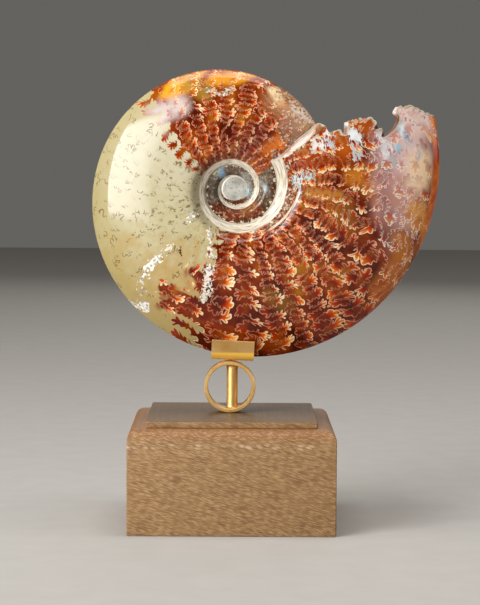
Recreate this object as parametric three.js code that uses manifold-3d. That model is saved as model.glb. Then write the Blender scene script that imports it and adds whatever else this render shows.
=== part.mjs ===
// A polished cleoniceras ammonite that stands on edge in a small brass saddle.
// The saddle rides on a brass ring with a post across it, on a stepped block of oak.
// Millimetres, +Z up. The side that faces the viewer looks along -Y.
// The origin is the centre of the block's underside.

import * as THREE from 'three';
import { mergeVertices } from 'three/addons/utils/BufferGeometryUtils.js';
import Module from 'manifold-3d';

// Stand: the oak block, the thin board on it, and the brass between board and shell
const blockSide = 76;
const blockHeight = 38.5;
const blockRounding = 4;
const roundingSteps = 6;
const boardSide = 62.5;
const boardHeight = 2.5;
const boardEdge = 0.3;
const ringRadius = 9.7;
const ringWall = 1.4;
const ringDepth = 8;
const ringOffset = -0.9;
const postRadius = 2.1;
const saddleLength = 16;
const saddleTilt = THREE.MathUtils.degToRad(2.7);
const saddleWall = 1.2;
const gap = 0.15;

// Half of the bent strip's profile: how far behind the middle and how high above its underside
const saddleOutside = [[1.6, 0.05], [3.1, 0.9], [4.5, 2.9], [6.95, 7.7]];
const saddleInside = [[5.55, 7.7], [3.4, 3.3], [2.4, 1.9], [1.2, 1.3]];

// Shell: its outline is a logarithmic spiral about the coiling axis, which runs along Y.
// Angles are counted counter-clockwise from +X, as seen from the front, and the last
// whorl runs up to the broken mouth at the upper right.
const axisHeight = 126;
const radiusAboveAxis = 43.5;
const growthPerRadian = 0.1207;
const halfThickness = 0.2;
const flankStart = 0.38;
const ventreSharpness = 1.9;
const ventreRounding = 0.72;
const umbilicusShift = new THREE.Vector2(0.5, -0.7);

// The low domed plug in the middle of the umbilicus
const plugRadius = 5.1;
const plugHalfThickness = 2.9;
const plugShoulder = 0.6;
const plugShoulderDrop = 0.12;
const plugDrop = 0.4;

// Steps along the spiral start where the shell is widest, so that its box is its real size
const widestAngle = Math.atan(growthPerRadian);
const fineStep = THREE.MathUtils.degToRad(7.5);
const coarseStep = THREE.MathUtils.degToRad(15);
const innermostStep = -75;
const innerStep = -45;
const middleStep = -9;
const outerStep = 27;
const mouthStep = 53;

// The wall of the umbilicus from its foot to the shoulder, as shares of the whorl's radius.
// The first three points are the pale ledge that follows the seam.
const umbilicalWall = [
  [0.206, 0.03], [0.207, 0.085], [0.209, 0.106], [0.22, 0.113], [0.238, 0.119], [0.254, 0.124],
  [0.264, 0.134], [0.28, 0.155], [0.292, 0.174], [0.31, 0.19], [0.34, 0.1985],
];
const flankPoints = 10;

// The broken mouth as seen from the front, in millimetres from the coiling axis.
// It starts in the umbilicus, crosses the older whorl and follows the leafy rim outwards.
const brokenAcrossWhorl = [
  [11, 8.2], [19.8, 10.7], [22.3, 13.9], [25, 15.4], [27.9, 18], [29.7, 20.9],
];
const brokenAcrossWhorlFoot = [
  [10, 9], [16.7, 10.8], [20.2, 14.4], [23.2, 17.1], [26.4, 19.5], [29, 21.8],
];
const brokenRim = [
  [30.8, 24], [33.6, 23.1], [34.6, 21.2], [35.5, 19.6], [36.6, 20.6], [38.6, 21.5], [39.8, 20.9],
  [40.7, 19.5], [41.9, 20.2], [42.2, 24.5], [44.1, 25.1], [44.8, 23.5], [46.6, 26.2],
  [48.3, 24.6], [49.6, 26.3], [51.3, 26], [53.2, 23.9], [52.6, 22.4], [54.3, 22.2],
  [55.2, 21.5], [54.6, 18.8], [56, 18.9], [58.8, 21], [61.1, 24], [62, 27.2], [60.8, 28],
  [61, 29.4], [62.4, 30.7], [64.4, 30.3], [66.4, 31.1], [67.5, 30.6], [70.1, 30.1],
  [72.1, 29.1], [73.9, 28.4], [74.9, 27.2],
];
const beyondTheShell = [[90, 25], [90, 70], [8, 70]];
const mouthDirection = THREE.MathUtils.degToRad(25);
const mouthHollow = 2.5;
const mouthSmoothing = 8;
const leastStepAcross = 0.15;
const plainWithin = 0.3;
const mouthLayers = [0.95, 0.8, 0.6, 0.3, 0, -0.3, -0.6, -0.8, -0.95];
const clearOfFlanks = 22;

const wasm = await Module();
wasm.setup();

function toSolid(geometry) {
  geometry.deleteAttribute('normal');
  geometry.deleteAttribute('uv');
  const merged = mergeVertices(geometry, 1e-4);
  return new wasm.Manifold(new wasm.Mesh({
    numProp: 3,
    vertProperties: new Float32Array(merged.attributes.position.array),
    triVerts: new Uint32Array(merged.index.array),
  }));
}

function toGeometry(solid) {
  const mesh = solid.getMesh();
  const geometry = new THREE.BufferGeometry();
  geometry.setAttribute('position', new THREE.BufferAttribute(mesh.vertProperties, 3));
  geometry.setIndex(new THREE.BufferAttribute(mesh.triVerts, 1));
  geometry.computeVertexNormals();
  return geometry;
}

// A closed body through rings that all have the points of one counter-clockwise outline
function loft(rings, outline) {
  const count = outline.length;
  const last = (rings.length - 1) * count;
  const index = [];
  for (let start = 0; start < last; start += count) {
    for (let point = 0; point < count; point += 1) {
      const here = start + point;
      const next = start + (point + 1) % count;
      index.push(here, next, next + count, here, next + count, here + count);
    }
  }
  for (const [a, b, c] of THREE.ShapeUtils.triangulateShape(outline, [])) {
    index.push(c, b, a, last + a, last + b, last + c);
  }
  const geometry = new THREE.BufferGeometry();
  geometry.setFromPoints(rings.flat());
  geometry.setIndex(index);
  return geometry;
}

function whorlRadius(angle) {
  return radiusAboveAxis * Math.exp(growthPerRadian * (angle - Math.PI / 2));
}

function flankHalfThickness(share) {
  const along = THREE.MathUtils.clamp((share - flankStart) / (1 - flankStart), 0, 1);
  return halfThickness * (1 - along ** ventreSharpness) ** ventreRounding;
}

// One side of the whorl's section, from the foot of the umbilical wall to the ventre
function sectionSide() {
  const side = umbilicalWall.map(([share, thickness]) => [share, thickness]);
  for (let point = 0; point <= flankPoints; point += 1) {
    const along = Math.sin((Math.PI / 2) * (point / flankPoints));
    const share = flankStart + (1 - flankStart) * along;
    side.push([share, flankHalfThickness(share)]);
  }
  return side;
}

const frontSide = sectionSide();
const backSide = frontSide.slice(0, -1).reverse();
const section = [
  ...frontSide.map(([share, thickness]) => new THREE.Vector2(share, -thickness)),
  ...backSide.map(([share, thickness]) => new THREE.Vector2(share, thickness)),
];

// A stretch of the whorl between two steps counted from where the shell is widest
function whorl(firstStep, lastStep, step) {
  const rings = [];
  const first = widestAngle + firstStep * fineStep;
  const pieces = Math.round(((lastStep - firstStep) * fineStep) / step);
  for (let piece = 0; piece <= pieces; piece += 1) {
    const angle = first + piece * step;
    const radius = whorlRadius(angle);
    rings.push(section.map(({ x: share, y: thickness }) => {
      const shift = THREE.MathUtils.clamp((1 - share) / (1 - flankStart), 0, 1);
      return new THREE.Vector3(
        share * radius * Math.cos(angle) + shift * umbilicusShift.x,
        thickness * radius,
        share * radius * Math.sin(angle) + shift * umbilicusShift.y,
      );
    }));
  }
  return toSolid(loft(rings, section));
}

// The low plug that fills the middle of the umbilicus on both sides
function umbilicusPlug() {
  const profile = [
    new THREE.Vector2(0, -plugHalfThickness),
    new THREE.Vector2(plugRadius * plugShoulder, -plugHalfThickness + plugShoulderDrop),
    new THREE.Vector2(plugRadius, -plugHalfThickness + plugDrop),
    new THREE.Vector2(plugRadius, plugHalfThickness - plugDrop),
    new THREE.Vector2(plugRadius * plugShoulder, plugHalfThickness - plugShoulderDrop),
    new THREE.Vector2(0, plugHalfThickness),
  ];
  const plug = new THREE.LatheGeometry(profile, 24);
  plug.translate(umbilicusShift.x, 0, umbilicusShift.y);
  return toSolid(plug);
}

// What is missing beyond the broken mouth: leafy at the flanks, smoother and hollow inside
function brokenAway() {
  const forward = new THREE.Vector2(-Math.sin(mouthDirection), Math.cos(mouthDirection));
  const outward = new THREE.Vector2(Math.cos(mouthDirection), Math.sin(mouthDirection));
  const rim = brokenRim.map(([x, z]) => new THREE.Vector2(x, z));
  let heights = rim.map((point) => point.dot(forward));
  for (let pass = 0; pass < mouthSmoothing; pass += 1) {
    heights = heights.map((height, i) => {
      const before = heights[Math.max(i - 1, 0)];
      const after = heights[Math.min(i + 1, heights.length - 1)];
      return i === 0 || i === heights.length - 1 ? height : (before + 2 * height + after) / 4;
    });
  }
  let reach = -Infinity;
  const inside = rim.map((point, i) => {
    reach = Math.max(reach + leastStepAcross, point.dot(outward));
    const hollow = mouthHollow * Math.sin(Math.PI * (i / (rim.length - 1)));
    return outward.clone().multiplyScalar(reach).addScaledVector(forward, heights[i] - hollow);
  });
  const atFlank = [...brokenAcrossWhorl, ...brokenRim, ...beyondTheShell];
  const atMiddle = [
    ...brokenAcrossWhorlFoot,
    ...inside.map((point) => [point.x, point.y]),
    ...beyondTheShell,
  ];
  const outline = atFlank.map(([x, z]) => new THREE.Vector2(x, z));
  const layers = mouthLayers.map((layer) => atFlank.map(([x, z], i) => {
    const towardsFlank = THREE.MathUtils.smoothstep(Math.abs(layer), plainWithin, mouthLayers[0]);
    const whorl = whorlRadius(Math.atan2(z, x) + 2 * Math.PI);
    const share = Math.min(Math.hypot(x, z) / whorl, 0.99);
    return new THREE.Vector3(
      THREE.MathUtils.lerp(atMiddle[i][0], x, towardsFlank),
      flankHalfThickness(share) * whorl * layer,
      THREE.MathUtils.lerp(atMiddle[i][1], z, towardsFlank),
    );
  }));
  const behind = atFlank.map(([x, z]) => new THREE.Vector3(x, clearOfFlanks, z));
  const inFront = atFlank.map(([x, z]) => new THREE.Vector3(x, -clearOfFlanks, z));
  return toSolid(loft([behind, ...layers, inFront], outline));
}

function ammonite() {
  const lastWhorl = whorl(outerStep, mouthStep, fineStep).subtract(brokenAway());
  const shell = whorl(innermostStep, innerStep, coarseStep)
    .add(whorl(innerStep, middleStep, coarseStep))
    .add(whorl(middleStep, outerStep, fineStep))
    .add(lastWhorl)
    .add(umbilicusPlug());
  const material = new THREE.MeshStandardMaterial({ color: '#b5541c', roughness: 0.18 });
  const mesh = new THREE.Mesh(toGeometry(shell), material);
  mesh.name = 'ammonite';
  mesh.position.z = axisHeight;
  return mesh;
}

function brass() {
  return new THREE.MeshStandardMaterial({ color: '#c79a4e', roughness: 0.3, metalness: 1 });
}

function oak() {
  return new THREE.MeshStandardMaterial({ color: '#9c7d58', roughness: 0.65 });
}

// The trough under the shell: a bent strip with a round floor and walls that lean outwards
function saddle() {
  const half = [...saddleOutside, ...saddleInside];
  const trough = new THREE.Shape();
  trough.moveTo(0, 0);
  half.forEach(([y, z]) => trough.lineTo(y, z));
  trough.lineTo(0, saddleWall);
  half.slice().reverse().forEach(([y, z]) => trough.lineTo(-y, z));
  trough.closePath();
  const geometry = new THREE.ExtrudeGeometry(trough, { depth: saddleLength, bevelEnabled: false });
  geometry.translate(0, 0, -saddleLength / 2);
  // The outline's x comes to run back, its y up and its depth to the right
  const turned = new THREE.Quaternion();
  turned.setFromAxisAngle(new THREE.Vector3(1, 1, 1).normalize(), (2 * Math.PI) / 3);
  geometry.applyQuaternion(turned);
  const mesh = new THREE.Mesh(geometry, brass());
  mesh.name = 'saddle';
  mesh.rotation.y = saddleTilt;
  mesh.position.z = blockHeight + boardHeight + 2 * ringRadius + 3 * gap;
  return mesh;
}

const ringHeight = blockHeight + boardHeight + gap + ringRadius;

// A slice of brass tube that stands on the board with its axis along Y
function ring() {
  const band = new THREE.Shape();
  band.absarc(0, 0, ringRadius, 0, 2 * Math.PI);
  const bore = new THREE.Path();
  bore.absarc(0, 0, ringRadius - ringWall, 0, 2 * Math.PI, true);
  band.holes.push(bore);
  const geometry = new THREE.ExtrudeGeometry(band, {
    depth: ringDepth,
    bevelEnabled: false,
    curveSegments: 40,
  });
  geometry.translate(0, 0, -ringDepth / 2);
  const mesh = new THREE.Mesh(geometry, brass());
  mesh.name = 'ring';
  mesh.rotation.x = Math.PI / 2;
  mesh.position.set(ringOffset, 0, ringHeight);
  return mesh;
}

// The rod across the ring, cut to the curve of its bore at both ends
function post() {
  const rod = new THREE.CylinderGeometry(postRadius, postRadius, 2 * ringRadius, 24);
  rod.rotateX(Math.PI / 2);
  const boreRadius = ringRadius - ringWall - gap;
  const bore = new THREE.CylinderGeometry(boreRadius, boreRadius, 3 * postRadius, 48);
  bore.translate(ringOffset, 0, 0);
  const mesh = new THREE.Mesh(toGeometry(toSolid(rod).intersect(toSolid(bore))), brass());
  mesh.name = 'post';
  mesh.position.z = ringHeight;
  return mesh;
}

// A square board turned from a profile with four sides, its flats facing the axes
function squareTurned(profile) {
  const points = profile.map(([half, z]) => new THREE.Vector2(half * Math.SQRT2, z));
  const geometry = new THREE.LatheGeometry(points, 4, Math.PI / 4);
  geometry.rotateX(Math.PI / 2);
  return geometry;
}

function block() {
  const profile = [[0, 0], [blockSide / 2, 0]];
  for (let step = 0; step <= roundingSteps; step += 1) {
    const turn = (Math.PI / 2) * (step / roundingSteps);
    const half = blockSide / 2 - blockRounding * (1 - Math.cos(turn));
    profile.push([half, blockHeight - blockRounding * (1 - Math.sin(turn))]);
  }
  profile.push([0, blockHeight]);
  const mesh = new THREE.Mesh(squareTurned(profile), oak());
  mesh.name = 'block';
  return mesh;
}

function board() {
  const half = boardSide / 2;
  const profile = [
    [0, 0], [half, 0], [half, boardHeight - boardEdge], [half - boardEdge, boardHeight], [0, boardHeight],
  ];
  const mesh = new THREE.Mesh(squareTurned(profile), oak());
  mesh.name = 'board';
  mesh.position.z = blockHeight;
  return mesh;
}

const group = new THREE.Group();
group.add(ammonite(), saddle(), ring(), post(), board(), block());

export default group;
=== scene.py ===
import math

import bpy
import numpy as np
from mathutils import Matrix, Vector


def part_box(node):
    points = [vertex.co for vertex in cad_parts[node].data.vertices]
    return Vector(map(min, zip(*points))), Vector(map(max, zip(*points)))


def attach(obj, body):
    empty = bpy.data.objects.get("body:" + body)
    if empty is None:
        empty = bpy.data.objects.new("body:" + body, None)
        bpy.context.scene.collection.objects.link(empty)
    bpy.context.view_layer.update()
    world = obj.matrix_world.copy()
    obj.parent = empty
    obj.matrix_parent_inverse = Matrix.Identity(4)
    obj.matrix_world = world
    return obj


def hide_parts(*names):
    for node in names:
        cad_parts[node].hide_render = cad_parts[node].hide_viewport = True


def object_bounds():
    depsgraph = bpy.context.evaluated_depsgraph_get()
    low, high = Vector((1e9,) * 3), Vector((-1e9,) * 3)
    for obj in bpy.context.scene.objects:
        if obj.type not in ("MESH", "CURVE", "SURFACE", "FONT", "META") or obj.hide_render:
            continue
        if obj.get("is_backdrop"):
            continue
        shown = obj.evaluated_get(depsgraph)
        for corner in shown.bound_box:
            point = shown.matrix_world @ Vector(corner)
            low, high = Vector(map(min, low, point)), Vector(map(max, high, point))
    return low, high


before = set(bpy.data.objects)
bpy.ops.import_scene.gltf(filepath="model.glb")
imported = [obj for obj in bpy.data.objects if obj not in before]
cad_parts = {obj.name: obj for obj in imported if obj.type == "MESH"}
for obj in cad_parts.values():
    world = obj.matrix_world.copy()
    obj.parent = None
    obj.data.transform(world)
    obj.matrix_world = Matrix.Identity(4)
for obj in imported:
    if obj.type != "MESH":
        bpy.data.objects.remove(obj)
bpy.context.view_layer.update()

# The place where the piece is shown: a pale floor, soft studio light from large panels,
# and a camera at eye level with the stand, far enough away for a long lens.

mm = 0.001
scene = bpy.context.scene


def linear(hex_colour):
    """Turns an sRGB hex colour into linear red, green, blue and alpha."""
    channels = [int(hex_colour[i:i + 2], 16) / 255 for i in (1, 3, 5)]
    return [c / 12.92 if c <= 0.04045 else ((c + 0.055) / 1.055) ** 2.4 for c in channels] + [1.0]


def add(tree, kind, *inputs, **settings):
    """Adds one node, such as "TexNoise" or "Math ADD", with its settings.

    Its inputs get values, hex colours or links, in their order or from a dictionary of names.
    A colour ramp gets its stops, as pairs of place and sRGB hex colour.
    """
    kind, _, choice = kind.partition(" ")
    if choice:
        settings[{"Mix": "data_type", "Attribute": "attribute_name"}.get(kind, "operation")] = choice
    stops = settings.pop("stops", ())
    whole_name = kind.startswith(("Geometry", "Function"))
    node = tree.nodes.new(kind if whole_name else "ShaderNode" + kind)
    for name, value in settings.items():
        setattr(node, name, value)
    named = inputs[0] if inputs and isinstance(inputs[0], dict) else dict(enumerate(inputs))
    available = [socket for socket in node.inputs if socket.enabled]
    for name, value in named.items():
        socket = available[name] if isinstance(name, int) else node.inputs[name]
        if isinstance(value, bpy.types.Node):
            value = next(output for output in value.outputs if output.enabled)
        if isinstance(value, bpy.types.NodeSocket):
            tree.links.new(value, socket)
        else:
            socket.default_value = linear(value) if str(value).startswith("#") else value
    for number, (place, colour) in enumerate(stops):
        elements = node.color_ramp.elements
        stop = elements[number] if number < 2 else elements.new(place)
        stop.position = place
        stop.color = linear(colour)
    return node


def new_material(name):
    """An empty material, with its tree and the place on the piece that its patterns follow."""
    material = bpy.data.materials.new(name)
    material.use_nodes = True
    tree = material.node_tree
    tree.nodes.clear()
    return material, tree, add(tree, "TexCoord").outputs["Object"]


def new_object(mesh, material):
    piece = bpy.data.objects.new(mesh.name, mesh)
    scene.collection.objects.link(piece)
    mesh.materials.clear()
    mesh.materials.append(material)
    return piece


camera_place = Vector((0, -800, 135.6)) * mm
camera_pitch = math.radians(3.8)
camera_yaw = math.radians(0.2)
camera_roll = math.radians(0.343)
focal_pixels = 2126.3
picture_height_pixels = 605

camera = bpy.data.cameras.new("camera")
camera.sensor_fit = "VERTICAL"
camera.sensor_height = 36
camera.lens = focal_pixels / picture_height_pixels * camera.sensor_height
camera_object = bpy.data.objects.new("camera", camera)
camera_object.matrix_world = (
    Matrix.Translation(camera_place)
    @ Matrix.Rotation(-camera_yaw, 4, "Z")
    @ Matrix.Rotation(math.pi / 2 - camera_pitch, 4, "X")
    @ Matrix.Rotation(camera_roll, 4, "Z")
)
scene.collection.objects.link(camera_object)
scene.camera = camera_object
scene.view_settings.view_transform = "Standard"

stone_middle = Vector((0, 0, 0.12))
panel_edge = 0.12
panels = [  # name, place, width and height in metres, watts, colour, how much one side is dimmed
    ("left_panel", (-0.755, -0.89, 0.42), (0.78, 0.95), 43, "#f8f8ff", 0.6),
    ("right_panel", (1.15, -0.05, 0.50), (0.6, 0.8), 3, "#fff0f4", 0),
    ("top_panel", (0.0, -0.1, 1.1), (0.9, 0.7), 11, "#ffffff", 0),
    ("back_panel", (0.3, 1.3, 0.7), (1.2, 0.8), 3, "#ffffff", 0),
]
for name, place, size, watts, colour, dimming in panels:
    lamp = bpy.data.lights.new(name, "AREA")
    lamp.shape = "RECTANGLE"
    lamp.size, lamp.size_y = size
    lamp.energy = watts
    lamp.color = linear(colour)[:3]
    lamp.use_nodes = True
    tree = lamp.node_tree
    tree.nodes.clear()
    across, up, _ = add(tree, "SeparateXYZ", add(tree, "NewGeometry").outputs["Parametric"]).outputs
    from_edge = add(tree, "Math PINGPONG", up, 0.5)
    soft = add(tree, "MapRange", from_edge, 0, panel_edge, interpolation_type="SMOOTHSTEP")
    across = add(tree, "Math POWER", add(tree, "Math SUBTRACT", 1, across), dimming)
    strength = add(tree, "Math MULTIPLY", soft, across)
    add(tree, "OutputLight", add(tree, "Emission", {"Strength": strength}))
    lamp_object = bpy.data.objects.new(name, lamp)
    lamp_object.location = place
    aim = stone_middle - Vector(place)
    lamp_object.rotation_euler = aim.to_track_quat("-Z", "Y").to_euler()
    scene.collection.objects.link(lamp_object)

world = bpy.data.worlds.new("studio")
world.use_nodes = True
background = world.node_tree.nodes["Background"].inputs
background["Color"].default_value = linear("#dcd8d2")
background["Strength"].default_value = 0.18
scene.world = world

# Matt paper: a warm off-white sheet that takes only a soft shadow
paper, tree, _ = new_material("matt_paper_floor")
grain = add(tree, "TexNoise", {"Scale": 400.0, "Detail": 3.0})
tones = add(tree, "ValToRGB", grain, stops=[(0.3, "#a8a49c"), (0.7, "#aca8a0")])
add(tree, "OutputMaterial", add(tree, "BsdfPrincipled", {"Base Color": tones, "Roughness": 0.85}))
half_floor = 2.5
floor_mesh = bpy.data.meshes.new("floor")
floor_corners = [(x * half_floor, y * half_floor, 0) for x, y in ((-1, -1), (1, -1), (1, 1), (-1, 1))]
floor_mesh.from_pydata(floor_corners, [], [(0, 1, 2, 3)])
new_object(floor_mesh, paper)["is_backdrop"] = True

# The block: one piece of oak, planed square, its top edges rounded over with a router
# and the rest just broken with sandpaper. The other pieces stand on it.

sanded_edge = 0.5 * mm
block_rounding = 4 * mm


def finish_piece(piece, node):
    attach(piece, "root")
    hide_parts(node)


def loft(name, rings, in_circle=False):
    """A closed body through rings of points that all have the same count."""
    count = len(rings[0])
    total = count * len(rings)
    faces = [] if in_circle else [tuple(reversed(range(count))), tuple(range(total - count, total))]
    for ring in range(len(rings) if in_circle else len(rings) - 1):
        for point in range(count):
            here = ring * count + point
            after = ring * count + (point + 1) % count
            faces.append((here, after, (after + count) % total, (here + count) % total))
    mesh = bpy.data.meshes.new(name)
    mesh.from_pydata(np.vstack(rings).tolist(), [], faces)
    return mesh


def smoothed(mesh, sharp_degrees):
    """Shades a mesh smooth, with edges kept crisp past an angle."""
    mesh.polygons.foreach_set("use_smooth", [True] * len(mesh.polygons))
    mesh.set_sharp_from_angle(angle=math.radians(sharp_degrees))
    return mesh


def square_board(name, low, high, top_rounding, edge):
    """A board between two corners, its top edges rounded and its other edges broken."""
    half = (high.x - low.x) / 2
    profile = [(half - edge, low.z), (half - edge * 0.3, low.z + edge * 0.3), (half, low.z + edge)]
    for turn in np.linspace(0, math.pi / 2, 13):
        profile.append((half - top_rounding * (1 - math.cos(turn)),
                        high.z - top_rounding * (1 - math.sin(turn))))
    corners = np.repeat([(1, 1), (-1, 1), (-1, -1), (1, -1)], 6, axis=0)
    turns = np.add.outer(np.arange(4) * math.pi / 2, np.linspace(0, math.pi / 2, 6)).ravel()
    broken_corner = edge * np.stack([np.cos(turns), np.sin(turns)], 1)
    rings = [np.column_stack([corners * (reach - edge) + broken_corner, np.full(len(turns), height)])
             for reach, height in profile]
    return smoothed(loft(name, rings), 40)


def window(value, start, full, fading, gone):
    """Rises from nothing to one along a value, and falls again further on."""
    rising = add(tree, "MapRange", value, start, full)
    return add(tree, "Math MULTIPLY", rising, add(tree, "MapRange", value, gone, fading))


# Oak: open-grained wood cut on the quarter, sanded and oiled. Its rays come up as short pale
# dashes about 3 mm long, with dark pores between them, all a little down to the right
oak, tree, place = new_material("oiled_quartered_oak")
grain_slope = math.radians(15)


def along_grain(length, width):
    """The place in the wood, counted in fibres of this length and width in millimetres."""
    return add(tree, "Mapping", place, (0, 0, 0), (0, grain_slope, 0),
               (length * mm, width * mm, width * mm), vector_type="TEXTURE")


def dashes(length, width, radius, share):
    """Short strokes of one size along the grain, on a share of their places."""
    cells = add(tree, "TexVoronoi", {
        "Vector": along_grain(length, width), "Scale": 1, "Randomness": 0.85})
    stroke = add(tree, "MapRange", cells.outputs["Distance"], radius, radius * 0.5)
    chosen = add(tree, "SeparateColor", cells.outputs["Color"])
    chosen = add(tree, "MapRange", chosen.outputs["Red"], share, share - 0.3)
    return add(tree, "Math MULTIPLY", stroke, chosen)


low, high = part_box("block")
board_low, board_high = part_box("board")
grain = add(tree, "TexNoise", along_grain(7, 1), 1, 5, 0.6)
colour = add(tree, "ValToRGB", grain, stops=[
    (0.3, "#715234"), (0.45, "#85643f"), (0.58, "#917048"), (0.72, "#9d7b53")])
height = add(tree, "SeparateXYZ", place).outputs["Z"]
# Painted shade: the board's top face, of the same oak, is darkened towards a deep brown and shows weaker
# pale rays, standing for the lesser light that falls on it
shaded_board_top = add(tree, "MapRange", height, board_high.z - 0.4 * mm, board_high.z - 0.1 * mm, 0, 0.75)
edges = window(height, high.z - block_rounding, high.z - block_rounding / 2, high.z, high.z + 0.2 * mm)
edges = add(tree, "Math MULTIPLY", edges, 0.85)
pores = add(tree, "Math MULTIPLY", dashes(5.5, 0.38, 0.5, 0.7), 0.45)
strength = add(tree, "Math MULTIPLY_ADD", shaded_board_top, -0.3, 0.42)
rays = add(tree, "Math MULTIPLY", strength, dashes(3, 0.37, 0.48, 1.1))
from_row = add(tree, "Math SUBTRACT", height, high.z - block_rounding - 1.8 * mm)
fleck_row = add(tree, "MapRange", add(tree, "Math ABSOLUTE", from_row), 0.5 * mm, 1.2 * mm, 0.45, 0)
fleck_row = add(tree, "Math MULTIPLY", fleck_row, dashes(3, 1.3, 0.55, 0.6))
# The first cover here is the painted shade on the board's top; the others are the rounded edges, pores,
# rays and row of flecks
for cover, tone in ((shaded_board_top, "#4a3a24"), (edges, "#80562f"), (pores, "#5a3f28"),
                    (rays, "#caa87c"), (fleck_row, "#d8c0a0")):
    colour = add(tree, "Mix RGBA", cover, colour, tone)
bump = add(tree, "Bump", {"Strength": 0.2, "Distance": 0.2 * mm, "Height": grain})
add(tree, "OutputMaterial", add(tree, "BsdfPrincipled", {
    "Base Color": colour, "Roughness": 0.5, "Specular IOR Level": 0.25, "Normal": bump}))

block_mesh = square_board("block_body", low, high, block_rounding, sanded_edge)
finish_piece(new_object(block_mesh, oak), "block")

# The board: a thin square of the same oak, its edges broken with sandpaper. It is most likely
# glued on the block, and it carries the brass.

board_mesh = square_board("board_top", board_low, board_high, sanded_edge, sanded_edge)
finish_piece(new_object(board_mesh, oak), "board")

# The ring: a slice sawn off a brass tube, its rims broken with a file. It stands on edge on the
# board, held from below.

tube_wall = 1.4 * mm
filed_edge = 0.2 * mm
ring_low, ring_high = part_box("ring")
ring_middle = (ring_low + ring_high) / 2
ring_radius = (ring_high.z - ring_low.z) / 2
half_depth = (ring_high.y - ring_low.y) / 2

# Brass: copper and zinc, brushed to a satin and left bare, warm yellow with fine hairlines
brass, tree, place = new_material("satin_brass")
brushed = add(tree, "Mapping", {"Vector": place, "Scale": (1, 12, 12)})
hairlines = add(tree, "TexNoise", brushed, 700, 4)
clouds = add(tree, "TexNoise", place, 180, 3)
tones = add(tree, "ValToRGB", clouds, stops=[(0.3, "#dcae62"), (0.55, "#e8be78"), (0.75, "#f0cc8c")])
rough = add(tree, "MapRange", hairlines, 0.3, 0.7, 0.34, 0.5)
bump = add(tree, "Bump", {"Strength": 0.15, "Distance": 0.05 * mm, "Height": hairlines})
saddle_low, saddle_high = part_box("saddle")
height = add(tree, "SeparateXYZ", place).outputs["Z"]
# Painted reflection: the lower part of the saddle, where it bends under, is painted a brighter and less
# metallic gold, for the warm light it catches from the board below
saddle_belly_reflection = window(height, ring_high.z, ring_high.z + 0.3 * mm,
                      saddle_low.z + 3.3 * mm, saddle_low.z + 3.6 * mm)
tones = add(tree, "Mix RGBA", saddle_belly_reflection, tones, "#ffcc58")
metal = add(tree, "Math MULTIPLY_ADD", saddle_belly_reflection, -0.3, 0.85)
add(tree, "OutputMaterial", add(tree, "BsdfPrincipled", {
    "Base Color": tones, "Metallic": metal, "Roughness": rough, "Normal": bump}))

section = []
for across, side in ((ring_radius, 1), (ring_radius - tube_wall, -1)):
    filed = across - side * filed_edge
    edge = [(filed, half_depth), (across, half_depth - filed_edge),
            (across, filed_edge - half_depth), (filed, -half_depth)]
    section += edge[::side]
rings = [np.array([(ring_middle.x + radius * math.cos(turn), y, ring_middle.z + radius * math.sin(turn))
                   for radius, y in section]) for turn in np.linspace(2 * math.pi, 0, 128, endpoint=False)]
ring_mesh = smoothed(loft("ring_slice", rings, in_circle=True), 30)
finish_piece(new_object(ring_mesh, brass), "ring")

# The post: a brass rod across the bore, coped to it at both ends and soldered, with a small
# fillet of solder where it meets the tube.

post_low, post_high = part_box("post")
post_radius = (post_high.y - post_low.y) / 2
fillet = 0.9 * mm
bore = ring_radius - tube_wall - 0.02 * mm
rings = []
coped_part = 0.16
near_end = 1 - np.linspace(1, 0, 7) ** 1.6 * coped_part
for share in np.concatenate([-near_end[::-1], np.linspace(-0.8, 0.8, 9), near_end]):
    end = max(0, abs(share) - 1 + coped_part) / coped_part
    radius = post_radius + fillet * (1 - math.sqrt(max(0, 1 - end ** 2.4)))
    around = np.linspace(0, 2 * math.pi, 40, endpoint=False)
    x, y = radius * np.cos(around), radius * np.sin(around)
    z = ring_middle.z + share * np.sqrt(bore ** 2 - (x - ring_middle.x) ** 2)
    rings.append(np.stack([x, y, z], 1))
post_mesh = smoothed(loft("post_rod", rings), 60)
finish_piece(new_object(post_mesh, brass), "post")

# The saddle: a strip of brass bent up into a trough, in which the shell stands. It is soldered
# to the top of the ring, a little tilted.

saddle_outside = [(0, 0), (1.6, 0.05), (3.6, 0.3), (4.8, 1.4), (5.35, 3.5), (6.95, 7.7)]
saddle_inside = [(5.6, 7.7), (4, 3.7), (3.4, 2.1), (1.6, 1.4), (0, 1.2)]
saddle_length = 16
saddle_tilt = math.radians(2.7)


def rounded(points, passes):
    """Cuts the corners of a line of points, keeping its ends."""
    points = np.array(points, float)
    for _ in range(passes):
        near = points[:-1] * 0.75 + points[1:] * 0.25
        far = points[:-1] * 0.25 + points[1:] * 0.75
        cut = np.stack([near, far], 1).reshape(-1, points.shape[1])
        points = np.vstack([points[:1], cut[1:-1], points[-1:]])
    return points


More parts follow.
